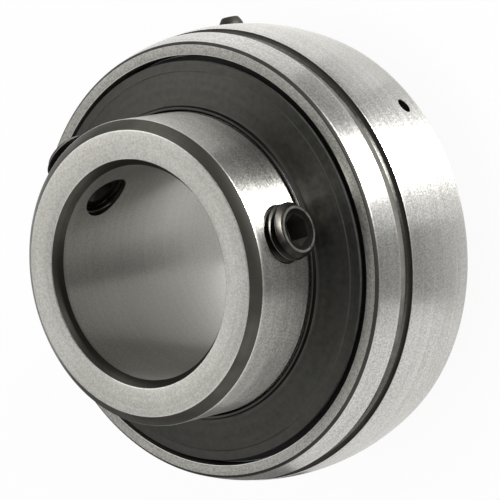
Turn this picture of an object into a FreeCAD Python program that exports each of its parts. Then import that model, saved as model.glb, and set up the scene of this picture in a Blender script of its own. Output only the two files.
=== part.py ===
import FreeCAD, Part
import math
import os
from FreeCAD import Vector

# Set-screw insert bearing with a spherical outer ring, size 205 with a 15/16 inch bore.
# Millimetres. +Z runs along the bore towards the set-screw collar, and the origin is
# the centre of the spherical outside, in the plane of the ball centres. From the bore
# outwards the walls, races and balls add up to the 52 mm outside of that size.

# Rings
bore_dia = 23.8125        # shaft bore of the inner ring, 15/16 inch
ring_wall = 5.09375       # bore to the outside of the inner ring and its collar
shell_wall = 2.5          # outer ring, from the bottom of the ball race to the sphere
shell_width = 17.0        # outer ring, face to face
shell_corner = 0.37       # chamfer between the sphere and each end face
rim_width = 1.16          # flat end face of the outer ring, from chamfer to seal counterbore
bore_chamfer = 0.78       # lead-in of the bore, measured along the radius
bore_chamfer_len = 1.15   # the same lead-in, measured along the axis
back_length = 5.8         # inner ring beyond the outer ring's face on the plain side
collar_chamfer = 1.2      # collar's outer chamfer, measured along the radius
collar_chamfer_len = 1.0  # the same chamfer, measured along the axis
back_chamfer = 0.8        # outer chamfer at the back end of the inner ring

# Balls and races
ball_dia = 7.938          # 5/16 inch
ball_count = 9
race_gap = 0.031          # running clearance between a ball and each race
race_ratio = 1.04         # race groove radius over ball radius
inner_shoulder = 1.5      # depth of the inner race below its lands
outer_shoulder = 1.7      # depth of the outer race below its lands

# Ball cage, two pressed ribbons riveted together
cage_sheet = 0.7
cage_band = 3.0           # ribbon width across the pitch circle
pocket_gap = 0.12         # clearance between ball and pocket
rivet_dia = 1.3
rivet_head_dia = 2.2
rivet_head_height = 0.5
rivet_fit = 0.02          # clearance between a rivet and its holes

# Seals, a steel case with a bonded rubber lip in a snap groove
seal_gap = 0.5            # cage to the shoulder that the seal rests on
snap_depth = 0.35         # snap groove below the counterbore
snap_width = 0.7
snap_bevel = 0.2          # length of the groove's slanted outer side
case_sheet = 0.6
case_fit = 0.02           # clearance between seal and snap groove
case_inner_gap = 2.2      # inner edge of the case to the inner ring
rubber_sheet = 0.6
rubber_edge_gap = 0.15    # edge of the rubber to the counterbore
lip_clearance = 0.03      # tip of the lip to the inner ring
lip_width = 0.4
lip_rise = 0.5            # how far the lip leans outwards past the rubber

# Flingers pressed on the inner ring outside the seals
flinger_sheet = 0.5
flinger_gap = 0.72        # rim of the flinger to the counterbore
flinger_proud = 0.3       # rim of the flinger above the outer ring's end face
flinger_rise = 2.075      # end of its neck above the outer ring's end face
flinger_bend = 0.5        # outside radius where the neck turns into the disc
flinger_neck = 0.57       # length of the neck that stands above the disc
flinger_lead = 0.24       # lead-in inside the neck's end, measured along the radius
flinger_lead_len = 0.28   # the same lead-in, measured along the axis
flinger_band = 1.0        # band along the rim
flinger_band_rise = 0.18
flinger_step = 0.1        # step down to that band
flinger_shelf = 1.0       # zone inside the step
flinger_shelf_rise = 0.25

# Set screws, 1/4 inch with 28 threads to the inch
screw_dia = 6.35
screw_length = 6.35
screw_pitch = 25.4 / 28
screw_turns_out = 1.0     # turns that each point is backed off from the shaft
screw_fit = 0.05          # clearance that stands in for the thread's flanks
screw_gap = 0.05          # edge of each screw hole to the flinger's neck
screw_inset = 5.65        # screw axis to the collar's end face
screw_angles = (0.0, 124.5)
screw_chamfer = 0.6
drill_dia = 5.5           # tapping drill, seen where each hole opens into the bore
drill_land = 0.1          # bore wall left at the drill size
socket_flats = 3.175      # hexagon socket, 1/8 inch across flats
socket_depth = 2.8
cup_dia = 3.4             # ring edge of the cup point
cup_depth = 0.8
dish_dia = 4.6            # shallow dish in the end round the socket
dish_depth = 0.3
dish_slope = 0.4          # width of the dish's slanted side

# Marks on the outside of the outer ring
groove_offset = 4.4       # ball plane to the locating groove
groove_radius = 0.9       # half-round section of the groove
oil_hole_dia = 1.8
oil_hole_offset = 4.42    # ball plane to the oil hole, on the side away from the collar
oil_hole_angle = 25.2
pin_dia = 2.8             # locating pin
pin_bevel = 0.45          # bevel round its head, measured along the radius
pin_bevel_len = 0.75      # the same bevel, measured along the pin
pin_head = 1.28           # height of the head above the sphere
pin_depth = 2.0           # length of the shank inside the ring
pin_offset = 4.45
pin_angle = 85.5
pin_fit = 0.01

# Radii and heights that follow from the values above
bore_r = bore_dia / 2
ball_r = ball_dia / 2
race_r = ball_r * race_ratio
ring_r = bore_r + ring_wall
inner_race_r = ring_r - inner_shoulder
pitch_r = inner_race_r + race_gap + ball_r
outer_race_r = pitch_r + ball_r + race_gap
outer_land_r = outer_race_r - outer_shoulder
shell_r = outer_race_r + shell_wall
shell_half = shell_width / 2
back_reach = shell_half + back_length
face_r = math.sqrt(shell_r**2 - (shell_half - shell_corner)**2) - shell_corner
counter_r = face_r - rim_width
snap_r = counter_r + snap_depth
pocket_r = ball_r + pocket_gap
seat_z = pocket_r + cage_sheet + seal_gap
neck_top = shell_half + flinger_rise
screw_r = screw_dia / 2
screw_hole_r = screw_r + screw_fit
screw_z = neck_top + screw_gap + screw_hole_r
collar_reach = screw_z + screw_inset
drill_r = drill_dia / 2
screw_tip_r = bore_r + screw_turns_out * screw_pitch


def turned(points):
    """Solid of revolution about Z from a closed outline of (radius, height) points."""
    corners = [Vector(r, 0, z) for r, z in points]
    outline = Part.makePolygon(corners + [corners[0]])
    solid = Part.Face(outline).revolve(Vector(0, 0, 0), Vector(0, 0, 1), 360)
    return solid


def flipped(shape):
    """The same shape turned over to the other side of the ball plane."""
    return shape.mirror(Vector(0, 0, 0), Vector(0, 0, 1))


def radial_bar(radius, start, end, height, angle):
    """Cylinder that lies along a radius of the bearing."""
    bar = Part.makeCylinder(radius, end - start, Vector(start, 0, height), Vector(1, 0, 0))
    return bar.rotate(Vector(0, 0, 0), Vector(0, 0, 1), angle)


def ball_centres():
    step = 360.0 / ball_count
    places = []
    for i in range(ball_count):
        turn = math.radians(step * (i + 0.5))
        places.append(Vector(pitch_r * math.cos(turn), pitch_r * math.sin(turn), 0))
    return places


def outer_ring():
    """Blank with seal seats, then the sphere, race, groove and holes are cut."""
    half = [
        (outer_land_r, 0),
        (outer_land_r, seat_z),
        (snap_r, seat_z),
        (snap_r, seat_z + snap_width),
        (counter_r, seat_z + snap_width + snap_bevel),
        (counter_r, shell_half),
        (face_r, shell_half),
        (face_r + 2 * shell_corner, shell_half - 2 * shell_corner),
        (shell_r + 1, shell_half - 2 * shell_corner),
        (shell_r + 1, 0),
    ]
    upper = turned(half)
    blank = upper.fuse(flipped(upper)).removeSplitter()
    ring = blank.common(Part.makeSphere(shell_r))
    race = Part.makeTorus(outer_race_r - race_r, race_r)
    ring = ring.cut(race)
    groove_r = math.sqrt(shell_r**2 - groove_offset**2)
    groove = Part.makeTorus(groove_r, groove_radius, Vector(0, 0, groove_offset))
    ring = ring.cut(groove)
    oil_hole = radial_bar(oil_hole_dia / 2, outer_land_r - 1, shell_r + 1,
                          -oil_hole_offset, oil_hole_angle)
    ring = ring.cut(oil_hole)
    surface_r = math.sqrt(shell_r**2 - pin_offset**2)
    pin_hole = radial_bar(pin_dia / 2 + pin_fit, surface_r - pin_depth, shell_r + 1,
                          -pin_offset, pin_angle)
    return ring.cut(pin_hole)


def locating_pin():
    """Plain pin pressed into the outer ring, with a bevelled head outside it."""
    surface_r = math.sqrt(shell_r**2 - pin_offset**2)
    foot_r = surface_r - pin_depth
    top_r = surface_r + pin_head
    pin = turned([
        (0, foot_r),
        (pin_dia / 2, foot_r),
        (pin_dia / 2, top_r - pin_bevel_len),
        (pin_dia / 2 - pin_bevel, top_r),
        (0, top_r),
    ])
    return laid_out(pin, -pin_offset, pin_angle)


def inner_ring():
    """Wide inner ring: bore, ball race, and the collar with its tapped holes."""
    section = [
        (bore_r + bore_chamfer, collar_reach),
        (ring_r - collar_chamfer, collar_reach),
        (ring_r, collar_reach - collar_chamfer_len),
        (ring_r, back_chamfer - back_reach),
        (ring_r - back_chamfer, -back_reach),
        (bore_r + bore_chamfer, -back_reach),
        (bore_r, bore_chamfer_len - back_reach),
        (bore_r, collar_reach - bore_chamfer_len),
    ]
    ring = turned(section)
    race = Part.makeTorus(inner_race_r + race_r, race_r)
    ring = ring.cut(race)
    for angle in screw_angles:
        ring = ring.cut(screw_hole(angle))
    return ring


def screw_hole(angle):
    """Tapped hole through the collar, narrowed to the drill size where the tap runs out."""
    drilled = bore_r + drill_land
    tapped = drilled + screw_hole_r - drill_r
    hole = turned([
        (0, bore_r - 3),
        (drill_r, bore_r - 3),
        (drill_r, drilled),
        (screw_hole_r, tapped),
        (screw_hole_r, ring_r + 1),
        (0, ring_r + 1),
    ])
    return laid_out(hole, screw_z, angle)


def laid_out(shape, height, angle):
    """A shape made along Z, turned to point out along a radius of the bearing."""
    shape = shape.copy()
    shape.rotate(Vector(0, 0, 0), Vector(0, 1, 0), 90)
    shape.translate(Vector(0, 0, height))
    return shape.rotate(Vector(0, 0, 0), Vector(0, 0, 1), angle)


def ball(place):
    return Part.makeSphere(ball_r, place)


def cage_half():
    """Pressed ribbon: flat between the balls and bulged over the front half of each."""
    inner_r = pitch_r - cage_band / 2
    outer_r = pitch_r + cage_band / 2
    tall = pocket_r + cage_sheet + 1
    band = turned([(inner_r, 0), (outer_r, 0), (outer_r, tall), (inner_r, tall)])
    ribbon = turned([(inner_r, 0), (outer_r, 0), (outer_r, cage_sheet), (inner_r, cage_sheet)])
    bulges = [Part.makeSphere(pocket_r + cage_sheet, place) for place in ball_centres()]
    ribbon = ribbon.fuse([bulge.common(band) for bulge in bulges])
    pockets = [Part.makeSphere(pocket_r, place) for place in ball_centres()]
    ribbon = ribbon.cut(pockets)
    holes = [rivet_bar(rivet_dia / 2 + rivet_fit, i) for i in range(ball_count)]
    return ribbon.cut(holes).removeSplitter()


def rivet_bar(radius, number):
    """Cylinder through both ribbons, midway between two balls."""
    turn = math.radians(360.0 / ball_count * number)
    foot = Vector(pitch_r * math.cos(turn), pitch_r * math.sin(turn), -cage_sheet)
    return Part.makeCylinder(radius, 2 * cage_sheet, foot)


def rivet(number):
    """Shank with a domed head on each side of the cage."""
    head_r = rivet_head_dia / 2
    dome_r = (head_r**2 + rivet_head_height**2) / (2 * rivet_head_height)
    turn = math.radians(360.0 / ball_count * number)
    x = pitch_r * math.cos(turn)
    y = pitch_r * math.sin(turn)
    lid = Part.makeCylinder(head_r, rivet_head_height + 1, Vector(x, y, cage_sheet))
    dome = Part.makeSphere(dome_r, Vector(x, y, cage_sheet + rivet_head_height - dome_r))
    head = dome.common(lid)
    return rivet_bar(rivet_dia / 2, number).fuse([head, flipped(head)]).removeSplitter()


def seal_case():
    """Flat steel ring that snaps in behind the counterbore."""
    inner_r = ring_r + case_inner_gap
    outer_r = snap_r - case_fit
    return turned([(inner_r, seat_z), (outer_r, seat_z),
                   (outer_r, seat_z + case_sheet), (inner_r, seat_z + case_sheet)])


def seal_rubber():
    """Rubber bonded over the case, with a lip that leans out along the inner ring."""
    case_r = ring_r + case_inner_gap
    edge_r = counter_r - rubber_edge_gap
    low = seat_z + case_sheet
    top = low + rubber_sheet
    tip_r = ring_r + lip_clearance
    return turned([
        (case_r, low),
        (edge_r, low),
        (edge_r, top),
        (ring_r + 0.65 * case_inner_gap, top),
        (tip_r + lip_width, top + lip_rise),
        (tip_r, top + lip_rise - 0.15),
        (tip_r, top + 0.1),
        (ring_r + 0.4 * case_inner_gap, low - 0.2),
        (ring_r + 0.4 * case_inner_gap, seat_z),
        (case_r, seat_z),
    ])


def flinger():
    """Pressed disc: neck on the inner ring, cone, shelf, step and rim band."""
    sheet = flinger_sheet
    rim_r = counter_r - flinger_gap
    rim_z = shell_half + flinger_proud
    band_r = rim_r - flinger_band
    shelf_r = band_r - flinger_shelf
    band_z = rim_z + flinger_band_rise
    shelf_z = band_z + flinger_step
    foot_r = ring_r + sheet + flinger_bend
    foot_z = neck_top - flinger_neck
    cone_z = shelf_z + flinger_shelf_rise
    bend = []
    for i in range(4):
        turn = math.radians(90 * i / 4)
        bend.append((foot_r - flinger_bend * math.cos(turn),
                     foot_z + flinger_bend * (1 - math.sin(turn))))
    top = [(ring_r + sheet, neck_top)] + bend + [
        (foot_r, foot_z),
        (shelf_r, cone_z),
        (band_r - flinger_step, shelf_z),
        (band_r, band_z),
        (rim_r, rim_z),
    ]
    under = [
        (rim_r, rim_z - sheet),
        (band_r - flinger_step, band_z - sheet),
        (band_r - 2 * flinger_step, shelf_z - sheet),
        (shelf_r, cone_z - sheet),
        (foot_r - flinger_bend / 2, foot_z - sheet),
        (ring_r, foot_z - sheet + flinger_bend / 2),
        (ring_r, neck_top - flinger_lead_len),
        (ring_r + flinger_lead, neck_top),
    ]
    return turned(top + under)


def set_screw(angle):
    """Socket screw with a cup point, its thread drawn as the full outside diameter."""
    end_r = screw_r - screw_chamfer
    cup_r = cup_dia / 2
    dish_r = dish_dia / 2
    tip = 0
    top = screw_length
    blank = turned([
        (0, tip + cup_depth),
        (cup_r, tip),
        (end_r, tip),
        (screw_r, tip + screw_chamfer),
        (screw_r, top - screw_chamfer),
        (end_r, top),
        (dish_r, top),
        (dish_r - dish_slope, top - dish_depth),
        (0, top - dish_depth),
    ])
    across_corners = socket_flats / math.cos(math.radians(30))
    corners = []
    for i in range(7):
        turn = math.radians(60 * i + 30)
        corners.append(Vector(across_corners / 2 * math.cos(turn),
                              across_corners / 2 * math.sin(turn), top))
    hexagon = Part.Face(Part.makePolygon(corners))
    socket = hexagon.extrude(Vector(0, 0, -socket_depth))
    screw = blank.cut(socket)
    screw.translate(Vector(0, 0, screw_tip_r))
    return laid_out(screw, screw_z, angle)


def save(shape, name):
    shape.exportStep(os.path.join("parts", name + ".step"))


os.makedirs("parts", exist_ok=True)

save(outer_ring(), "outer_ring")
save(locating_pin(), "locating_pin")
save(inner_ring(), "inner_ring")

for number, place in enumerate(ball_centres(), 1):
    save(ball(place), "ball_%d" % number)

front_half = cage_half()
save(front_half, "cage_front_half")
save(flipped(front_half), "cage_back_half")
save(Part.makeCompound([rivet(i) for i in range(ball_count)]), "cage_rivets")

front_case = seal_case()
front_rubber = seal_rubber()
front_flinger = flinger()
save(front_case, "front_seal_case")
save(front_rubber, "front_seal_rubber")
save(front_flinger, "front_flinger")
save(flipped(front_case), "back_seal_case")
save(flipped(front_rubber), "back_seal_rubber")
save(flipped(front_flinger), "back_flinger")

for number, angle in enumerate(screw_angles, 1):
    save(set_screw(angle), "set_screw_%d" % number)
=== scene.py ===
import math

import bpy
from mathutils import Matrix, Vector


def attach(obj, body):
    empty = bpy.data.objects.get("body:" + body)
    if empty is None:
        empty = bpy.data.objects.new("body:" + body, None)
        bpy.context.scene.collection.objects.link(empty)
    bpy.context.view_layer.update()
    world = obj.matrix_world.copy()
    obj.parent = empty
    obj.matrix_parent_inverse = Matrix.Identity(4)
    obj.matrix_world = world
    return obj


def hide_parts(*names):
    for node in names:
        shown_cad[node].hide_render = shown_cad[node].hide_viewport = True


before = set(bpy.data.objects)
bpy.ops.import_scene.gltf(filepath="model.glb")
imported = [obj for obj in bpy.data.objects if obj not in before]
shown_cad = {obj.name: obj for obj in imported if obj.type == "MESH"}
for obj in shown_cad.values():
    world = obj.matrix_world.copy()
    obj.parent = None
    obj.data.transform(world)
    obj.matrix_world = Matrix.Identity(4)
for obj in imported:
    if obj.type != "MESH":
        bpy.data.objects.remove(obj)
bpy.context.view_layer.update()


# Outer ring
# Through-hardened chrome steel, turned, hardened and then ground: a spherical outside with
# a locating groove and an oil hole, flat faces, a ball race and two snap grooves for seals.
# The ground surfaces are bright; groove and chamfers keep the brown-black heat-treat scale.
MM = 0.001                  # sizes of the pieces below are in millimetres
WELD = 2e-6                 # points closer than this, in metres, become one
SHELL = 26.0                # radius of the spherical outside
SHELL_HALF = 8.5            # ball plane to either face
FACE_OUT, FACE_IN = 24.326, 23.166
FACE_CHAMFER = 0.37
GROOVE_Z, GROOVE_R = 4.4, 0.9
GROOVE_TURN = -178.0        # degrees, short of half round because the outside is curved
OUTER_LAND, OUTER_RACE_CENTRE, RACE_R = 21.8, 19.372, 4.128
SEAT_Z, SNAP_R = 5.289, 23.516
SNAP_WIDTH, LIP_START = 0.7, 0.9
DEBURRED = 0.08             # radius left on the rings' edges
EASED_REACH = 0.075         # a face this near a corner is one of its eased ones
OIL_ANGLE, OIL_Z, OIL_R = 25.2, -4.42, 0.9
PIN_ANGLE, PIN_Z = 85.5, -4.45
PIN_HOLE_R, PIN_HOLE_FOOT = 1.41, 23.617
HOLES_Z = -4.44             # about the height of both holes
CUTTER_LOW, CUTTER_HIGH = 20, 28


def clear_selection():
    """Nothing selected, in object mode, so that the next operator acts on its own piece."""
    if bpy.context.object is not None and bpy.context.object.mode != "OBJECT":
        bpy.ops.object.mode_set(mode="OBJECT")
    bpy.ops.object.select_all(action="DESELECT")


def only(piece):
    """That piece alone selected and active."""
    clear_selection()
    piece.select_set(True)
    bpy.context.view_layer.objects.active = piece


def settle(piece):
    """Turns and shifts go into the mesh, so that the object sits at the origin."""
    only(piece)
    bpy.ops.object.transform_apply(location=True, rotation=True, scale=True)


def turned(name, outline, steps=240):
    """A piece turned about the bearing's axis. The outline is drawn point by point:
    (radius, height) runs straight there, and (radius, height, degrees, cuts) goes round that
    centre, clockwise with the radius to the right. It closes on its first point."""
    clear_selection()
    start = outline[0]
    bpy.ops.mesh.primitive_plane_add(size=MM, location=(start[0] * MM, 0, start[1] * MM))
    piece = bpy.context.object
    piece.name = piece.data.name = name
    settle(piece)
    bpy.ops.object.mode_set(mode="EDIT")
    bpy.ops.mesh.merge(type="CENTER")
    here = Vector((start[0], 0, start[1]))
    for stop in outline[1:] + [start]:
        if len(stop) == 2:
            there = Vector((stop[0], 0, stop[1]))
            bpy.ops.mesh.extrude_region_move(
                TRANSFORM_OT_translate={"value": (there - here) * MM})
            here = there
        else:
            centre = Vector((stop[0], 0, stop[1]))
            turn = math.radians(stop[2])
            bpy.ops.mesh.spin(steps=stop[3], angle=-turn, center=centre * MM, axis=(0, 1, 0))
            here = centre + Matrix.Rotation(turn, 3, "Y") @ (here - centre)
    bpy.ops.mesh.select_all(action="SELECT")
    bpy.ops.mesh.remove_doubles(threshold=WELD)
    bpy.ops.mesh.select_all(action="SELECT")
    bpy.ops.mesh.spin(steps=steps, angle=2 * math.pi, center=(0, 0, 0), axis=(0, 0, 1))
    bpy.ops.mesh.select_all(action="SELECT")
    bpy.ops.mesh.remove_doubles(threshold=WELD)
    bpy.ops.mesh.delete_loose()
    bpy.ops.mesh.select_all(action="SELECT")
    bpy.ops.mesh.normals_make_consistent(inside=False)
    bpy.ops.object.mode_set(mode="OBJECT")
    return piece


def eased(piece, width, over=25, cuts=2):
    """Every edge sharper than that many degrees gets a small radius, as from deburring."""
    only(piece)
    bevel = piece.modifiers.new("eased", "BEVEL")
    bevel.width = width * MM
    bevel.segments = cuts
    bevel.limit_method = "ANGLE"
    bevel.angle_limit = math.radians(over)
    bpy.ops.object.modifier_apply(modifier=bevel.name)


def smoothed(piece, degrees=28):
    """Smooth shading, with an edge kept where two faces meet at more than that."""
    only(piece)
    bpy.ops.object.shade_smooth_by_angle(angle=math.radians(degrees))


def cut(piece, tool, how="DIFFERENCE"):
    """Cuts the piece with the tool, or keeps what both share, and takes the tool away."""
    only(piece)
    change = piece.modifiers.new("cut", "BOOLEAN")
    change.operation = how
    change.solver = "EXACT"
    change.object = tool
    bpy.ops.object.modifier_apply(modifier=change.name)
    bpy.data.objects.remove(tool)


def peg(radius, low, high, sides=64):
    """A round or many-sided bar along Z from low to high."""
    clear_selection()
    bpy.ops.mesh.primitive_cylinder_add(
        vertices=sides, radius=radius * MM, depth=(high - low) * MM,
        location=(0, 0, (low + high) / 2 * MM))
    bar = bpy.context.object
    settle(bar)
    return bar


def laid_out(piece, height, degrees):
    """Lays a piece made along Z out along a radius of the bearing, at that height."""
    piece.matrix_world = (Matrix.Rotation(math.radians(degrees), 4, "Z")
                          @ Matrix.Translation((0, 0, height * MM))
                          @ Matrix.Rotation(math.radians(90), 4, "Y"))
    bpy.context.view_layer.update()
    settle(piece)
    return piece


def along_and_off(place, height, degrees):
    """How far a place lies along the radius at that height and direction, and off it."""
    turn = math.radians(degrees)
    along = place.x * math.cos(turn) + place.y * math.sin(turn)
    aside = place.y * math.cos(turn) - place.x * math.sin(turn)
    return along, math.hypot(aside, place.z - height)


def tint(code):
    """A colour written as sRGB hex, as the linear value that Blender works in."""
    parts = [int(code[i:i + 2], 16) / 255 for i in (1, 3, 5)]
    return [c / 12.92 if c <= 0.04045 else ((c + 0.055) / 1.055) ** 2.4 for c in parts] + [1]


def fill(tree, node, inputs):
    """Gives each named socket of a node its value or its link."""
    for socket, value in inputs.items():
        if isinstance(value, bpy.types.NodeSocket):
            tree.links.new(value, node.inputs[socket])
        else:
            node.inputs[socket].default_value = value


def add(tree, kind, inputs=None, stops=(), **settings):
    """Adds a node: settings are its own fields, inputs are values or links for its sockets,
    and stops are a colour ramp's (place, hex colour) pairs."""
    made = tree.nodes.new(kind)
    for field, value in settings.items():
        setattr(made, field, value)
    fill(tree, made, inputs or {})
    for number, (place, code) in enumerate(stops):
        made.color_ramp.elements[number].position = place
        made.color_ramp.elements[number].color = tint(code)
    return made


def finish(name):
    """A new material, its node tree and its surface shader."""
    material = bpy.data.materials.new(name)
    material.use_nodes = True
    tree = material.node_tree
    return material, tree, tree.nodes["Principled BSDF"]


def lathe_lines(tree, spacing):
    """Marks that run round the bearing's axis: a noise that changes across the radius and
    along the axis every so many millimetres, and hardly at all round it."""
    wander = 0.02           # the share of the place itself that makes the rings waver
    place = add(tree, "ShaderNodeTexCoord").outputs["Object"]
    apart = add(tree, "ShaderNodeSeparateXYZ", {"Vector": place}).outputs
    square_x = add(tree, "ShaderNodeMath", {0: apart["X"], 1: apart["X"]}, operation="MULTIPLY")
    square_y = add(tree, "ShaderNodeMath", {0: apart["Y"], 1: apart["Y"]}, operation="MULTIPLY")
    total = add(tree, "ShaderNodeMath", {0: square_x.outputs[0], 1: square_y.outputs[0]})
    out = add(tree, "ShaderNodeMath", {0: total.outputs[0]}, operation="SQRT")
    side = add(tree, "ShaderNodeVectorMath", {0: place, "Scale": wander}, operation="SCALE")
    flat = add(tree, "ShaderNodeCombineXYZ", {"X": out.outputs[0], "Z": apart["Z"]})
    joined = add(tree, "ShaderNodeVectorMath", {0: flat.outputs[0], 1: side.outputs[0]})
    return add(tree, "ShaderNodeTexNoise", {
        "Vector": joined.outputs[0], "Scale": 0.5 / (spacing * MM), "Detail": 2.0,
        "Roughness": 0.6}).outputs["Fac"]


def mottle(tree, size, detail=2.0):
    """Soft patches of about that many millimetres."""
    place = add(tree, "ShaderNodeTexCoord").outputs["Object"]
    return add(tree, "ShaderNodeTexNoise", {
        "Vector": place, "Scale": 0.5 / (size * MM), "Detail": detail,
        "Roughness": 0.55}).outputs["Fac"]


def ground_steel(name, low, high, rough, grain, film="#f1f1f0"):
    """Bearing steel from the grinding wheel: fine lines round the axis, a sparkle of grit
    marks, and an oily film in soft patches. The lines spread every highlight across them,
    which the shader's anisotropy, grain, does for those too fine to draw. The drawn ones
    are a quarter of a millimetre apart, many times coarser than real ones, to show at all."""
    material, tree, shader = finish(name)
    marks = lathe_lines(tree, 0.25)
    grit = mottle(tree, 0.1, 1.0)
    both = add(tree, "ShaderNodeMix", {"Factor": 0.7, "A": marks, "B": grit}).outputs["Result"]
    metal = add(tree, "ShaderNodeValToRGB", {"Fac": both}, stops=[(0.38, low), (0.62, high)])
    oil = add(tree, "ShaderNodeValToRGB", {"Fac": mottle(tree, 9.0)},
              stops=[(0.36, film), (0.64, "#ffffff")])
    colour = add(tree, "ShaderNodeMix", {
        "Factor": 1.0, "A": metal.outputs["Color"], "B": oil.outputs["Color"]},
        data_type="RGBA", blend_type="MULTIPLY")
    shine = add(tree, "ShaderNodeMapRange", {
        "Value": both, "From Min": 0.3, "From Max": 0.7,
        "To Min": rough - 0.05, "To Max": rough + 0.05})
    relief = add(tree, "ShaderNodeBump", {
        "Height": both, "Strength": 0.12, "Distance": 0.02 * MM})
    round_axis = add(tree, "ShaderNodeTangent", direction_type="RADIAL", axis="Z")
    fill(tree, shader, {
        "Metallic": 1.0, "Anisotropic": grain, "Anisotropic Rotation": 0.25,
        "Base Color": colour.outputs["Result"], "Roughness": shine.outputs["Result"],
        "Normal": relief.outputs["Normal"], "Tangent": round_axis.outputs["Tangent"]})
    return material


def scaled_steel(name, low, high, rough):
    """Turned steel that was never ground: brown-black oxide from the heat treatment over
    the faint rings that the turning tool left."""
    material, tree, shader = finish(name)
    rings = lathe_lines(tree, 0.3)
    patches = mottle(tree, 1.4, 4.0)
    both = add(tree, "ShaderNodeMix", {"Factor": 0.6, "A": rings, "B": patches})
    shade = both.outputs["Result"]
    colour = add(tree, "ShaderNodeValToRGB", {"Fac": shade}, stops=[(0.32, low), (0.7, high)])
    shine = add(tree, "ShaderNodeMapRange", {
        "Value": shade, "From Min": 0.3, "From Max": 0.7,
        "To Min": rough + 0.06, "To Max": rough - 0.06})
    relief = add(tree, "ShaderNodeBump", {
        "Height": shade, "Strength": 0.25, "Distance": 0.03 * MM})
    fill(tree, shader, {
        "Metallic": 1.0, "Base Color": colour.outputs["Color"],
        "Roughness": shine.outputs["Result"], "Normal": relief.outputs["Normal"]})
    return material


def dull_scale_and_shade(name, low, high, size, rough, detail=2.0, specular=0.0):
    """Scale or oxide too dull to mirror what stands round it, in soft patches, and painted
    shade in gaps and recesses. rough is one roughness, or (size, least, most) where the gloss
    has patches of its own."""
    material, tree, shader = finish(name)
    if isinstance(rough, tuple):
        spots, least, most = rough
        rough = add(tree, "ShaderNodeMapRange", {
            "Value": mottle(tree, spots), "To Min": least, "To Max": most}).outputs["Result"]
    colour = add(tree, "ShaderNodeValToRGB", {"Fac": mottle(tree, size, detail)},
                 stops=[(0.3, low), (0.7, high)])
    fill(tree, shader, {"Base Color": colour.outputs["Color"], "Roughness": rough,
                        "Specular IOR Level": specular})
    return material


def painted(piece, *finishes):
    """Gives the piece its materials. Each comes with a rule on a face's radius, height and
    normal, in millimetres, and a face takes the last one whose rule it meets."""
    piece.data.materials.clear()
    for material, _ in finishes:
        piece.data.materials.append(material)
    for face in piece.data.polygons:
        centre = face.center / MM
        out = math.hypot(centre.x, centre.y)
        for number, (_, rule) in enumerate(finishes):
            if rule is None or rule(out, centre.z, face.normal):
                face.material_index = number


def is_flat(normal):
    """True on an end face, whose normal runs along the axis."""
    return abs(normal.z) > 0.95


def at_corner(out, height, corners):
    """True on the narrow faces that easing left at one of those corners."""
    return any(math.hypot(out - r, height - z) < EASED_REACH for r, z in corners)


edge_angle = math.degrees(math.asin((SHELL_HALF - FACE_CHAMFER) / SHELL))
groove_angle = math.degrees(math.asin(GROOVE_Z / SHELL))
groove_half = math.degrees(2 * math.asin(GROOVE_R / (2 * SHELL)))
groove_out = math.sqrt(SHELL ** 2 - GROOVE_Z ** 2)
race_half = math.degrees(math.acos((OUTER_LAND - OUTER_RACE_CENTRE) / RACE_R))
race_z = math.sqrt(RACE_R ** 2 - (OUTER_LAND - OUTER_RACE_CENTRE) ** 2)

outer_ring = turned("outer_ring_ground", [
    (OUTER_LAND, race_z),
    (OUTER_LAND, SEAT_Z),
    (SNAP_R, SEAT_Z),
    (SNAP_R, SEAT_Z + SNAP_WIDTH),
    (FACE_IN, SEAT_Z + LIP_START),
    (FACE_IN, SHELL_HALF),
    (FACE_OUT, SHELL_HALF),
    (FACE_OUT + FACE_CHAMFER, SHELL_HALF - FACE_CHAMFER),
    (0, 0, edge_angle - groove_angle - groove_half, 8),
    (groove_out, GROOVE_Z, GROOVE_TURN, 18),
    (0, 0, groove_angle - groove_half + edge_angle, 26),
    (FACE_OUT, -SHELL_HALF),
    (FACE_IN, -SHELL_HALF),
    (FACE_IN, -SEAT_Z - LIP_START),
    (SNAP_R, -SEAT_Z - SNAP_WIDTH),
    (SNAP_R, -SEAT_Z),
    (OUTER_LAND, -SEAT_Z),
    (OUTER_LAND, -race_z),
    (OUTER_RACE_CENTRE, 0, -2 * race_half, 14),
])
eased(outer_ring, DEBURRED)

# The oil hole is drilled through to the race, and the pin's hole is a stopped one.
oil_hole = peg(OIL_R, CUTTER_LOW, CUTTER_HIGH)
cut(outer_ring, laid_out(oil_hole, OIL_Z, OIL_ANGLE))
pin_hole = peg(PIN_HOLE_R, PIN_HOLE_FOOT, CUTTER_HIGH)
cut(outer_ring, laid_out(pin_hole, PIN_Z, PIN_ANGLE))
smoothed(outer_ring)

# Ground round the axis, so its highlights are drawn out into streaks.
shell_steel = ground_steel("ground_chrome_steel", "#b0afaa", "#dad9d5",
                           rough=0.36, grain=0.92)
# Ground flat on a rotary table, so greyer and evenly lit.
shell_face_steel = ground_steel("face_ground_chrome_steel", "#908f8a", "#b4b3ae",
                                rough=0.5, grain=0.3)
# The eased edges are painted a lighter steel than the faces beside them: a painted highlight
# line.
edge_highlight_steel = ground_steel("painted_edge_highlight_steel", "#bfbeba", "#d6d5d1",
                          rough=0.34, grain=0.5)
# Furnace scale that the wheel never reached, so brown-black with a weak shine. Its colour is
# also painted shade on a band of the collar beside the flinger's neck.
scale_and_painted_shade = scaled_steel("heat_treat_scale_and_painted_shade", "#474540", "#5b5952", rough=0.42)
# In the groove the scale is thick and dull. On its lower wall a lighter band of ground steel is
# a painted highlight, and below that band the wall is painted shade.
groove_scale = dull_scale_and_shade("dull_groove_scale", "#3b3a37", "#4c4b46", size=0.8, rough=0.9,
                          detail=3.0, specular=0.2)
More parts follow.
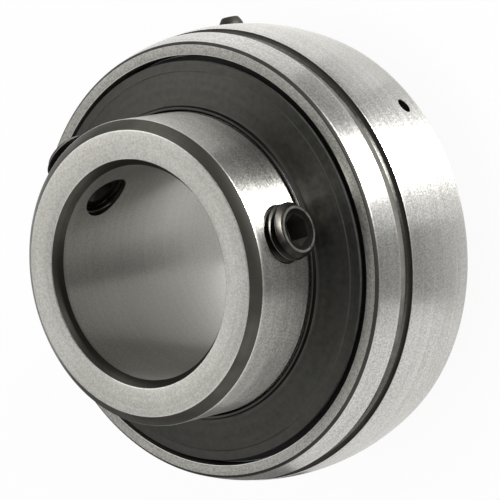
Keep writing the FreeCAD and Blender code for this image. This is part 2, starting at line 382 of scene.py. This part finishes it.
# Painted highlight: a lighter, glossier band where the groove's streak of light falls.
groove_highlight_band = ground_steel("groove_painted_highlight_steel", "#62615c", "#7c7a75",
                             rough=0.4, grain=0.85)
# The scale on the outer chamfers, and painted shade on the groove's lower wall.
scale_and_groove_shade = scaled_steel("scale_and_painted_groove_shade", "#383734", "#4c4a46", rough=0.5)
STREAK_DROP, SHADE_DROP = 0.56, 0.78    # below the groove's centre


def in_groove(out, height, normal):
    """True on the wall of the groove, and not on the outside beside it."""
    deep = math.hypot(out - groove_out, height - GROOVE_Z)
    return deep < GROOVE_R + 0.01 and math.hypot(out, height) < SHELL - 0.02


groove_edges = [(SHELL * math.cos(math.radians(a)), SHELL * math.sin(math.radians(a)))
                for a in (groove_angle - groove_half, groove_angle + groove_half)]
shell_edges = groove_edges + [
    (r, side * z) for side in (1, -1)
    for r, z in ((FACE_IN, SHELL_HALF),
                 (FACE_OUT + FACE_CHAMFER, SHELL_HALF - FACE_CHAMFER))]
painted(
    outer_ring,
    (shell_steel, None),
    (shell_face_steel, lambda out, height, normal: is_flat(normal) and out > FACE_IN),
    (scale_and_groove_shade, lambda out, height, normal:
        out > FACE_OUT and abs(height) > SHELL_HALF - FACE_CHAMFER and not is_flat(normal)),
    (groove_scale, lambda out, height, normal:
        FACE_IN - 0.1 < out < SNAP_R + 0.1 and abs(height) > SEAT_Z and not is_flat(normal)),
    (groove_scale, in_groove),
    # A painted highlight band on the groove's lower wall.
    (groove_highlight_band, lambda out, height, normal:
        in_groove(out, height, normal) and height < GROOVE_Z - STREAK_DROP),
    # Painted shade on the groove's lower wall.
    (scale_and_groove_shade, lambda out, height, normal:
        in_groove(out, height, normal) and height < GROOVE_Z - SHADE_DROP),
    # Eased corners: painted highlight lines.
    (edge_highlight_steel, lambda out, height, normal: at_corner(out, height, shell_edges)),
    (scale_and_painted_shade, lambda out, height, normal: False),
)
# The walls of both holes take the scale, which comes last in the list above.
for face in outer_ring.data.polygons:
    place = face.center / MM
    for angle, radius in ((OIL_ANGLE, OIL_R), (PIN_ANGLE, PIN_HOLE_R)):
        along, off = along_and_off(place, HOLES_Z, angle)
        if along > 0 and off < radius + 0.01 and place.length < SHELL - 0.04:
            face.material_index = len(outer_ring.data.materials) - 1
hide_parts("outer_ring")
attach(outer_ring, "outer_ring")


# Locating pin
# A plain steel pin with a bevelled head, pressed into the outer ring so that the ring can't
# turn in its housing. It is blackened, and its edges are a little rounded by tumbling.
PIN_R, PIN_CROWN_R, PIN_BEVEL = 1.4, 0.95, 0.75
PIN_FOOT = 23.63
PIN_PROUD = 1.28            # how far it stands out of the sphere
pin_top = math.sqrt(SHELL ** 2 - PIN_Z ** 2) + PIN_PROUD
pin = turned("locating_pin_black", [
    (0, PIN_FOOT),
    (PIN_R, PIN_FOOT),
    (PIN_R, pin_top - PIN_BEVEL),
    (PIN_CROWN_R, pin_top),
    (0, pin_top),
], steps=48)
eased(pin, 0.2, over=30, cuts=4)
laid_out(pin, PIN_Z, PIN_ANGLE)
smoothed(pin, 50)
# Black oxide, so a dark grey with hardly a highlight.
pin_black = scaled_steel("blackened_pin_steel", "#2b2a27", "#43413c", rough=0.58)
painted(pin, (pin_black, None))
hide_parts("locating_pin")
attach(pin, "outer_ring")


# Inner ring
# The same steel. Bore, race, collar and end face are ground, and the chamfers keep the
# black scale. The collar is tapped on two radii for the screws that lock it to the shaft.
BORE, RING = 11.90625, 17.0
COLLAR_END, BACK_END = 19.5, -14.3
COLLAR_CHAMFER_IN, COLLAR_CHAMFER_DOWN = 1.2, 1.0
BACK_CHAMFER = 0.8
BORE_CHAMFER_OUT, BORE_CHAMFER_DEEP = 0.78, 1.15
INNER_RACE_CENTRE = 15.5 + RACE_R
NECK_SHADE_LOW, NECK_SHADE_TOP = 10.5, 10.76      # a band of the collar painted dark as shade beside the flinger's neck
COLLAR_ROW, BORE_ROW, FIRST_BORE_ROW = 0.5, 0.75, 8.0
MIDWALL = 14.0              # a radius between the chamfers inside and outside
SCREW_Z = 13.85
SCREW_ANGLES = (0.0, 124.5)
PITCH = 25.4 / 28
SLOPE = math.tan(math.radians(30))
THREAD_CLEAR = 3.3          # outside the crests of screw and hole
HOLE_START, TAP_END = 9, 17.0
DRILL_R = 2.75
TAP_FOOT, TAP_FULL = 12.006, 12.556     # where the thread fades in from the drilled end
TAP_CREST, TAP_CREST_HALF, TAP_ROOT = 3.225, 0.0578, 2.76
SINK_IN, SINK_OUT = 2.7, 3.27
SINK_FOOT, SINK_TOP, SINK_END = 16.0, 16.57, 18.5


def threaded(name, envelope, crest, crest_half, root):
    """A bar with a right-hand 60 degree thread along Z, trimmed to a turned envelope. Every
    thread starts from height 0, so that a screw's fits the one in its hole."""
    clear_selection()
    low = min(point[1] for point in envelope)
    high = max(point[1] for point in envelope)
    root_half = crest_half + (crest - root) * SLOPE
    first = math.floor(low / PITCH) - 2
    turns = math.ceil(high / PITCH) + 2 - first
    tooth = [(crest, -crest_half), (crest, crest_half), (root, root_half),
             (root, PITCH - root_half), (crest, PITCH - crest_half)]
    bpy.ops.mesh.primitive_plane_add(size=MM, location=(crest * MM, 0, -crest_half * MM))
    bar = bpy.context.object
    bar.name = bar.data.name = name
    settle(bar)
    bpy.ops.object.mode_set(mode="EDIT")
    bpy.ops.mesh.merge(type="CENTER")
    for (r0, z0), (r1, z1) in zip(tooth, tooth[1:]):
        bpy.ops.mesh.extrude_region_move(
            TRANSFORM_OT_translate={"value": ((r1 - r0) * MM, 0, (z1 - z0) * MM)})
    bpy.ops.mesh.select_all(action="SELECT")
    bpy.ops.transform.translate(value=(0, 0, first * PITCH * MM))
    bpy.ops.object.mode_set(mode="OBJECT")
    helix = bar.modifiers.new("thread", "SCREW")
    helix.steps = helix.render_steps = 64
    helix.screw_offset = PITCH * MM
    helix.iterations = turns
    helix.use_merge_vertices = True
    helix.merge_threshold = WELD
    bpy.ops.object.modifier_apply(modifier=helix.name)
    for height, side in ((low - 0.3, True), (high + 0.3, False)):
        bpy.ops.object.mode_set(mode="EDIT")
        bpy.ops.mesh.select_all(action="SELECT")
        bpy.ops.mesh.bisect(
            plane_co=(0, 0, height * MM), plane_no=(0, 0, 1), use_fill=True,
            clear_inner=side, clear_outer=not side, threshold=1e-7)
        bpy.ops.object.mode_set(mode="OBJECT")
    bpy.ops.object.mode_set(mode="EDIT")
    bpy.ops.mesh.select_all(action="SELECT")
    bpy.ops.mesh.remove_doubles(threshold=WELD / 2)
    bpy.ops.mesh.normals_make_consistent(inside=False)
    bpy.ops.object.mode_set(mode="OBJECT")
    cut(bar, turned(name + "_envelope", envelope, steps=64), "INTERSECT")
    return bar


inner_race_half = math.degrees(math.acos((INNER_RACE_CENTRE - RING) / RACE_R))
inner_race_z = math.sqrt(RACE_R ** 2 - (INNER_RACE_CENTRE - RING) ** 2)
collar_edge = COLLAR_END - COLLAR_CHAMFER_DOWN

# Short rows of faces inside and outside keep what the tapped holes cut near them.
inner_ring = turned("inner_ring_ground", [
    (BORE + BORE_CHAMFER_OUT, COLLAR_END),
    (RING - COLLAR_CHAMFER_IN, COLLAR_END),
    (RING, collar_edge),
    *[(RING, collar_edge - COLLAR_ROW * row) for row in range(1, 16)],
    (RING, NECK_SHADE_TOP),
    (RING, NECK_SHADE_LOW),
    (RING, inner_race_z),
    (INNER_RACE_CENTRE, 0, -2 * inner_race_half, 14),
    (RING, BACK_END + BACK_CHAMFER),
    (RING - BACK_CHAMFER, BACK_END),
    (BORE + BORE_CHAMFER_OUT, BACK_END),
    (BORE, BACK_END + BORE_CHAMFER_DEEP),
    *[(BORE, FIRST_BORE_ROW + BORE_ROW * row) for row in range(14)],
    (BORE, COLLAR_END - BORE_CHAMFER_DEEP),
], steps=360)
eased(inner_ring, DEBURRED)

# Each hole is countersunk, drilled through, and tapped from outside most of the way.
for angle in SCREW_ANGLES:
    sink = turned("sink", [
        (0, SINK_FOOT),
        (SINK_IN, SINK_FOOT),
        (SINK_OUT, SINK_TOP),
        (SINK_OUT, SINK_END),
        (0, SINK_END),
    ], steps=64)
    cut(inner_ring, laid_out(sink, SCREW_Z, angle))
    tap = threaded("tap", [
        (0, HOLE_START),
        (DRILL_R, HOLE_START),
        (DRILL_R, TAP_FOOT),
        (THREAD_CLEAR, TAP_FULL),
        (THREAD_CLEAR, TAP_END),
        (0, TAP_END),
    ], TAP_CREST, TAP_CREST_HALF, TAP_ROOT)
    cut(inner_ring, laid_out(tap, SCREW_Z, angle))

# Any gap of a few edges that the cuts left is closed.
only(inner_ring)
bpy.ops.object.mode_set(mode="EDIT")
bpy.ops.mesh.select_all(action="SELECT")
bpy.ops.mesh.fill_holes(sides=6)
bpy.ops.object.mode_set(mode="OBJECT")
smoothed(inner_ring)

ring_edges = [
    (BORE + BORE_CHAMFER_OUT, COLLAR_END), (RING - COLLAR_CHAMFER_IN, COLLAR_END),
    (RING, collar_edge), (BORE + BORE_CHAMFER_OUT, BACK_END),
    (RING - BACK_CHAMFER, BACK_END), (RING, BACK_END + BACK_CHAMFER)]
# Ground like the outer ring, a shade darker.
collar_steel = ground_steel("ground_collar_steel", "#a5a49e", "#cdccc6",
                            rough=0.36, grain=0.92)
# The end face was ground flat, and mirrors evenly.
collar_face_steel = ground_steel("ground_collar_face_steel", "#afada7", "#cbc9c3",
                                 rough=0.4, grain=0.15)
# The bore was ground inside, so its streaks run along the shaft.
bore_steel = ground_steel("ground_bore_steel", "#a8a7a1", "#c1c0ba",
                          rough=0.36, grain=0.92, film="#f0f0ef")
# Threads keep a thin scale, rubbed by the screw.
thread_steel = scaled_steel("tapped_thread_steel", "#5c5953", "#7d7972", rough=0.4)
painted(
    inner_ring,
    (collar_steel, None),
    # Painted shade: a dark band on the collar just above the flinger's neck.
    (scale_and_painted_shade, lambda out, height, normal:
        out > RING - 0.1 and NECK_SHADE_LOW - 0.5 < height < NECK_SHADE_TOP - 0.01),
    (bore_steel, lambda out, height, normal: out < BORE + 0.1),
    (collar_face_steel, lambda out, height, normal:
        is_flat(normal) and abs(height) > -BACK_END - 0.3),
    (scale_and_painted_shade, lambda out, height, normal:
        out > MIDWALL and not is_flat(normal)
        and (height > collar_edge or height < BACK_END + BACK_CHAMFER)),
    (scale_and_painted_shade, lambda out, height, normal:
        out < MIDWALL and not is_flat(normal)
        and (height > COLLAR_END - BORE_CHAMFER_DEEP
             or height < BACK_END + BORE_CHAMFER_DEEP)),
    # Eased corners: painted highlight lines.
    (edge_highlight_steel, lambda out, height, normal: at_corner(out, height, ring_edges)),
    (thread_steel, lambda out, height, normal: False),
)
# The walls of the tapped holes take the thread's steel, which comes last in that list.
for face in inner_ring.data.polygons:
    place = face.center / MM
    radial = Vector((place.x, place.y, 0)).normalized()
    for angle in SCREW_ANGLES:
        along, off = along_and_off(place, SCREW_Z, angle)
        if along > 0 and off < SINK_OUT - 0.01 and abs(face.normal.dot(radial)) < 0.9:
            face.material_index = len(inner_ring.data.materials) - 1
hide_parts("inner_ring")
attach(inner_ring, "inner_ring")


# Balls
# Nine through-hardened chrome steel balls between the two races. They are lapped to a
# mirror, so they show their surroundings sharply, with a faint film of oil.
ball_steel, tree, shader = finish("lapped_ball_steel")
film = add(tree, "ShaderNodeValToRGB", {"Fac": mottle(tree, 2.5)},
           stops=[(0.35, "#cfcfce"), (0.65, "#dedddb")])
polish = add(tree, "ShaderNodeMapRange", {
    "Value": mottle(tree, 1.2), "To Min": 0.06, "To Max": 0.12})
fill(tree, shader, {"Metallic": 1.0, "Base Color": film.outputs["Color"],
                    "Roughness": polish.outputs["Result"]})
for number in range(1, 10):
    painted(shown_cad["ball_%d" % number], (ball_steel, None))


# Cage
# Two ribbons pressed from low-carbon strip, with a pocket round each ball, held together by
# nine rivets. The whole is tumbled, which leaves it a dull grey full of small dents.
def clouded(name, low, high, size, detail, rough, relief=None, metal=1.0):
    """A surface with no direction, as tumbling, plating or a mould leaves it, in patches of
    about that many millimetres. rough is its least and most roughness, and relief the
    strength and depth of its dents."""
    material, tree, shader = finish(name)
    patches = mottle(tree, size, detail)
    colour = add(tree, "ShaderNodeValToRGB", {"Fac": patches}, stops=[(0.3, low), (0.7, high)])
    shine = add(tree, "ShaderNodeMapRange", {
        "Value": patches, "To Min": rough[0], "To Max": rough[1]})
    fill(tree, shader, {"Metallic": metal, "Base Color": colour.outputs["Color"],
                        "Roughness": shine.outputs["Result"]})
    if relief:
        dents = add(tree, "ShaderNodeBump", {
            "Height": patches, "Strength": relief[0], "Distance": relief[1] * MM})
        fill(tree, shader, {"Normal": dents.outputs["Normal"]})
    return material


strip_steel = clouded("pressed_strip_steel", "#807d79", "#9d9a95", size=0.8, detail=4.0,
                      rough=(0.36, 0.52), relief=(0.3, 0.03))
for name in ("cage_front_half", "cage_back_half", "cage_rivets"):
    painted(shown_cad[name], (strip_steel, None))


# Seals
# A zinc-plated steel ring snaps into the outer ring, with nitrile rubber bonded over it. The
# plate is a bluish grey with a soft spangle, and the rubber a matt black from its mould.
zinc_plate = clouded("zinc_plated_case", "#a3a6a8", "#b9bbbc", size=1.0, detail=3.0,
                     rough=(0.3, 0.42))
nitrile = clouded("moulded_nitrile_rubber", "#2a2a29", "#363635", size=1.5, detail=4.0,
                  rough=(0.5, 0.66), relief=(0.2, 0.02), metal=0.0)
for side in ("front", "back"):
    painted(shown_cad[side + "_seal_case"], (zinc_plate, None))
    painted(shown_cad[side + "_seal_rubber"], (nitrile, None))


# Flingers
# A disc pressed from thin strip, blackened, with its neck forced on the inner ring. It
# turns with that ring and throws water off before the seal.
STRIP = 0.5                 # thickness
NECK_OUT, NECK_TOP, NECK_BEND = 17.5, 10.575, 0.5
NECK_LOW = 9.9
DISC_R, DISC_TOP = 20.446, 9.33
STEP_R, STEP_TOP, STEP_FOOT = 21.346, 9.08, 8.98
RIM_R, RIM_TOP = 22.55, 8.781


def flinger(name, side):
    """The disc of the front, or turned over for the back. side is 1 or -1."""
    shape = [
        (RING, NECK_TOP - 0.28),
        (RING + 0.24, NECK_TOP),
        (NECK_OUT, NECK_TOP),
        (NECK_OUT, NECK_TOP - 0.07),
        (NECK_OUT + NECK_BEND, NECK_TOP - 0.07, -90, 6),
        (DISC_R, DISC_TOP),
        (STEP_R, STEP_TOP),
        (STEP_R + 0.1, STEP_FOOT),
        (RIM_R, RIM_TOP),
        (RIM_R, RIM_TOP - STRIP),
        (STEP_R, STEP_FOOT - STRIP),
        (STEP_R - 0.1, STEP_TOP - STRIP),
        (DISC_R, DISC_TOP - STRIP),
        (RING + 0.75, NECK_TOP - 1.07),
        (RING, NECK_TOP - 0.82),
    ]
    disc = turned(name, [(p[0], p[1] * side, p[2] * side, p[3]) if len(p) == 4
                         else (p[0], p[1] * side) for p in shape])
    eased(disc, 0.05, over=20, cuts=3)
    smoothed(disc, 40)
    painted(
        disc,
        (flinger_black, None),
        (drawn_neck, lambda out, height, normal:
            STEP_R - 0.046 < out < STEP_R + 0.154
            or out < NECK_OUT + 0.6 and abs(height) > NECK_LOW),
        # Painted shade on the rim in the gap.
        (rim_painted_shade, lambda out, height, normal: out > RIM_R - 0.06),
        # Painted shade on the lead-in beside the collar.
        (lead_in_painted_shade, lambda out, height, normal:
            out < NECK_OUT + 0.15 and abs(height) > NECK_LOW),
        (rubbed_neck, lambda out, height, normal:
            RING + 0.27 < out < NECK_OUT + 0.03 and abs(height) > NECK_TOP - 0.055),
    )
    return disc


# Phosphate over the marks of pressing, so near-black with a low sheen drawn out in streaks.
flinger_black, tree, shader = finish("blackened_pressed_strip")
both = add(tree, "ShaderNodeMix", {
    "Factor": 0.6, "A": lathe_lines(tree, 0.5), "B": mottle(tree, 0.35, 3.0)})
shade = both.outputs["Result"]
colour = add(tree, "ShaderNodeValToRGB", {"Fac": shade},
             stops=[(0.3, "#3a3a37"), (0.7, "#4a4946")])
sheen = add(tree, "ShaderNodeMapRange", {
    "Value": shade, "From Min": 0.3, "From Max": 0.7, "To Min": 0.36, "To Max": 0.44})
grain = add(tree, "ShaderNodeBump", {"Height": shade, "Strength": 0.3, "Distance": 0.02 * MM})
round_axis = add(tree, "ShaderNodeTangent", direction_type="RADIAL", axis="Z")
fill(tree, shader, {
    "Metallic": 1.0, "Anisotropic": 0.7, "Anisotropic Rotation": 0.25,
    "Base Color": colour.outputs["Color"], "Roughness": sheen.outputs["Result"],
    "Normal": grain.outputs["Normal"], "Tangent": round_axis.outputs["Tangent"]})
# Where the strip was drawn round the neck and the step its coat is thinner and greyer.
drawn_neck = scaled_steel("drawn_neck_steel", "#3d3c39", "#4c4b47", rough=0.46)
# The sheared rim lies in the gap to the outer ring and is painted near-black as the shade
# there.
rim_painted_shade = dull_scale_and_shade("rim_painted_shade_black", "#22221f", "#2a2a28", size=0.5, rough=0.8)
# The neck's lead-in is painted near-black as the shade between neck and collar, and its lip is
# rubbed to grey.
lead_in_painted_shade = scaled_steel("neck_lead_in_painted_shade_steel", "#0e0e0e", "#161615", rough=0.5)
rubbed_neck = scaled_steel("rubbed_neck_steel", "#444341", "#504f4d", rough=0.4)
for side, name in ((1, "front_flinger"), (-1, "back_flinger")):
    disc = flinger(name + "_pressed", side)
    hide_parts(name)
    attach(disc, "inner_ring")


# Set screws
# Alloy steel, 1/4 inch with 28 threads to the inch, a hexagon socket and a cup point,
# blackened. The crests of the rolled thread and the chamfers are rubbed to a dull shine.
SCREW_TIP = BORE + PITCH
SCREW_LENGTH = 6.35
SCREW_R, SCREW_CREST_HALF, SCREW_ROOT = 3.175, 0.0567, 2.6185
END_R, END_CHAMFER = 2.575, 0.725
CUP_R, CUP_DEPTH = 1.7, 0.8
DISH_R, DISH_FLOOR_R, DISH_DEPTH = 2.3, 1.9, 0.3
SOCKET_FLATS, SOCKET_DEPTH = 3.175, 2.8

# Black oxide under oil, so nearly black with a wet look.
screw_black = clouded("black_oxide_screw_steel", "#2c2b29", "#42403c", size=0.6, detail=3.0,
                      rough=(0.32, 0.46), relief=(0.2, 0.01))
# Bare where the tapped hole rubs it, so a dull grey line along each crest.
rubbed_crest = clouded("rubbed_thread_crest", "#55544f", "#75746d", size=0.5, detail=3.0,
                       rough=(0.34, 0.46))
# The socket is broached. Its walls and the dished end are painted near-black as the shade
# inside them.
socket_painted_shade = dull_scale_and_shade("socket_painted_shade_steel", "#232220", "#2c2b29", size=0.6,
                             rough=(0.3, 0.5, 0.7))
dish_painted_shade = dull_scale_and_shade("dish_painted_shade_steel", "#0b0b0a", "#10100f", size=0.8,
                        rough=(0.4, 0.6, 0.75))

top = SCREW_TIP + SCREW_LENGTH
for number, angle in enumerate(SCREW_ANGLES, 1):
    screw = threaded("set_screw_%d_threaded" % number, [
        (0, SCREW_TIP + CUP_DEPTH),
        (CUP_R, SCREW_TIP),
        (END_R, SCREW_TIP),
        (THREAD_CLEAR, SCREW_TIP + END_CHAMFER),
        (THREAD_CLEAR, top - END_CHAMFER),
        (END_R, top),
        (DISH_R, top),
        (DISH_FLOOR_R, top - DISH_DEPTH),
        (0, top - DISH_DEPTH),
    ], SCREW_R, SCREW_CREST_HALF, SCREW_ROOT)
    corner = SOCKET_FLATS / 2 / math.cos(math.radians(30))
    cut(screw, peg(corner, top - SOCKET_DEPTH, top + 1, sides=6))
    painted(
        screw,
        (screw_black, None),
        (rubbed_crest, lambda out, height, normal:
            abs(out - SCREW_R) < 0.01 or DISH_R < out < END_R + 0.005 and normal.z > 0.9),
        # Painted shade in the socket and the dish.
        (socket_painted_shade, lambda out, height, normal:
            out < DISH_R and SOCKET_DEPTH + 0.05 > top - height > DISH_DEPTH + 0.02),
        (dish_painted_shade, lambda out, height, normal:
            out < DISH_R and top - height < DISH_DEPTH + 0.02),
    )
    laid_out(screw, SCREW_Z, angle)
    smoothed(screw, 24)
    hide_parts("set_screw_%d" % number)
    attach(screw, "set_screw_%d" % number)


# Studio
# The bearing stands on its plain end on a white sweep, under soft lamps. Cloth and cards
# out of the picture give the ground steel something to mirror.
def seen_rays(tree):
    """1 for rays from the camera, from a glossy surface or through glass, and else 0."""
    path = add(tree, "ShaderNodeLightPath").outputs
    seen = add(tree, "ShaderNodeMath", {0: path["Is Camera Ray"], 1: path["Is Glossy Ray"]},
               operation="MAXIMUM")
    return add(tree, "ShaderNodeMath", {0: seen.outputs[0], 1: path["Is Transmission Ray"]},
               operation="MAXIMUM").outputs[0]


# Matt paper. What is seen of it is nearly all its own white, so lamps hardly shade it.
clear_selection()
SWEEP_WIDE = 6              # metres
bpy.ops.mesh.primitive_plane_add(size=SWEEP_WIDE, location=(0, 0, BACK_END * MM))
floor = bpy.context.object
floor.name = "floor"
paper, tree, shader = finish("white_paper_sweep")
fill(tree, shader, {"Base Color": tint("#f2f2f2"), "Roughness": 0.8})
share = add(tree, "ShaderNodeMath", {0: seen_rays(tree), 1: 0.92}, operation="MULTIPLY")
white = add(tree, "ShaderNodeEmission", {"Color": tint("#ffffff"), "Strength": 1.0})
both = add(tree, "ShaderNodeMixShader", {0: share.outputs[0], 1: shader.outputs[0],
                                         2: white.outputs[0]})
fill(tree, tree.nodes["Material Output"], {"Surface": both.outputs[0]})
floor.data.materials.append(paper)


def arc_only(piece, first, last):
    """Keeps the faces between two directions, in degrees round the axis."""
    only(piece)
    bpy.ops.object.mode_set(mode="EDIT")
    bpy.ops.mesh.select_all(action="DESELECT")
    bpy.ops.object.mode_set(mode="OBJECT")
    for face in piece.data.polygons:
        turn = math.degrees(math.atan2(face.center.y, face.center.x))
        face.select = (turn - first) % 360 > last - first
    bpy.ops.object.mode_set(mode="EDIT")
    bpy.ops.mesh.delete(type="FACE")
    bpy.ops.object.mode_set(mode="OBJECT")


def card_stuff(name, glow):
    """Cloth or card that gives off that much light where steel mirrors it."""
    material, tree, shader = finish(name)
    fill(tree, shader, {
        "Base Color": tint("#050505"), "Roughness": 0.9,
        "Emission Color": tint("#ffffff"), "Emission Strength": glow})
    return material


# Cloth and cards stand round the bearing and lie on the sweep. The ground steel mirrors
# them as the dark lines beside its highlight and the grey between. Each has its stuff, its
# first and last direction in degrees, its nearest and farthest radius and its two heights.
front_cloth = card_stuff("grey_cloth", 0.1)
back_cloth = card_stuff("black_cloth", 0.0)
grey_card = card_stuff("grey_card", 0.42)
soft_card = card_stuff("soft_white_card", 1.15)
white_card = card_stuff("lit_white_card", 1.4)
bore_card = card_stuff("bright_bore_card", 2.2)
LOW = BACK_END + 0.1
for name, stuff, first, last, near, far, low, high in (
        ("cloth_front", front_cloth, -46, 86, 1300, 1300.1, 0, 2500),
        ("cloth_back", back_cloth, 114, 246, 1300, 1300.1, 0, 480),
        ("cloth_above", front_cloth, -20, 200, 0.1, 900, 1700, 1700.1),
        ("cloth_overhead", grey_card, 200, 340, 0.1, 900, 1700, 1700.1),
        ("card_high", white_card, 100, 168, 1300, 1300.1, 700, 2200),
        ("card_below", grey_card, -32, -6, 34, 300, LOW + 0.2, LOW + 0.3),
        ("card_above", grey_card, 35, 62, 44, 300, LOW + 0.2, LOW + 0.3),
        ("card_behind", front_cloth, 190, 250, 28, 160, LOW, LOW + 0.1),
        ("card_far_side", white_card, 42, 176, 28, 62, LOW, LOW + 0.1),
        ("card_near_side", soft_card, 250, 325, 28, 46, LOW, LOW + 0.1),
        ("cloth_aside", back_cloth, 120, 165, 1290, 1290.1, 300, 720),
        ("card_in_bore", back_cloth, -60, -2, 0.5, 11.6, LOW, LOW + 0.1),
        ("card_at_bore_wall", bore_card, 178, 200, 6.5, 11.4, LOW, LOW + 0.1)):
    card = turned(name, [(near, low), (far, low), (far, high), (near, high)], steps=180)
    arc_only(card, first, last)
    card.data.materials.append(stuff)
    card.visible_camera = card.visible_diffuse = card.visible_shadow = False

# The room is white too, and a little dimmer where it only lights the bearing.
world = bpy.data.worlds.new("studio")
bpy.context.scene.world = world
world.use_nodes = True
tree = world.node_tree
level = add(tree, "ShaderNodeMapRange", {"Value": seen_rays(tree), "To Min": 0.85,
                                         "To Max": 1.0})
fill(tree, tree.nodes["Background"], {"Color": tint("#ffffff"),
                                      "Strength": level.outputs["Result"]})


def lamp(name, azimuth, elevation, distance, wide, tall, power):
    """A softbox at that direction from the bearing, facing it. Lengths are in metres."""
    data = bpy.data.lights.new(name, "AREA")
    data.shape = "RECTANGLE"
    data.size = wide
    data.size_y = tall
    data.energy = power
    box = bpy.data.objects.new(name, data)
    bpy.context.scene.collection.objects.link(box)
    a, e = math.radians(azimuth), math.radians(elevation)
    place = Vector((math.cos(e) * math.cos(a), math.cos(e) * math.sin(a), math.sin(e)))
    box.location = place * distance
    box.rotation_euler = place.to_track_quat("Z", "Y").to_euler()


lamp("key", azimuth=21.5, elevation=1.2, distance=0.8, wide=0.175, tall=0.05, power=18.5)
lamp("upper_side", azimuth=132, elevation=30, distance=1.1, wide=1.3, tall=0.5, power=2)


# Camera
# Where the photograph was taken from: 50 degrees above the ring's plane, turned on its side.
# Its place is in metres, and the three axes are its own, seen from the bearing.
camera_place = Vector((0.2416, -0.01685, 0.2871))
right = Vector((0.73416, -0.24779, -0.63214))
up = Vector((0.21810, 0.96775, -0.12606))
back = Vector((0.64299, -0.04532, 0.76453))
view = bpy.data.cameras.new("camera")
view.lens = 237.33
view.sensor_width = 36
camera = bpy.data.objects.new("camera", view)
bpy.context.scene.collection.objects.link(camera)
camera.matrix_world = (Matrix.Translation(camera_place)
                       @ Matrix((right, up, back)).transposed().to_4x4())
bpy.context.scene.camera = camera
bpy.context.scene.view_settings.view_transform = "Standard"
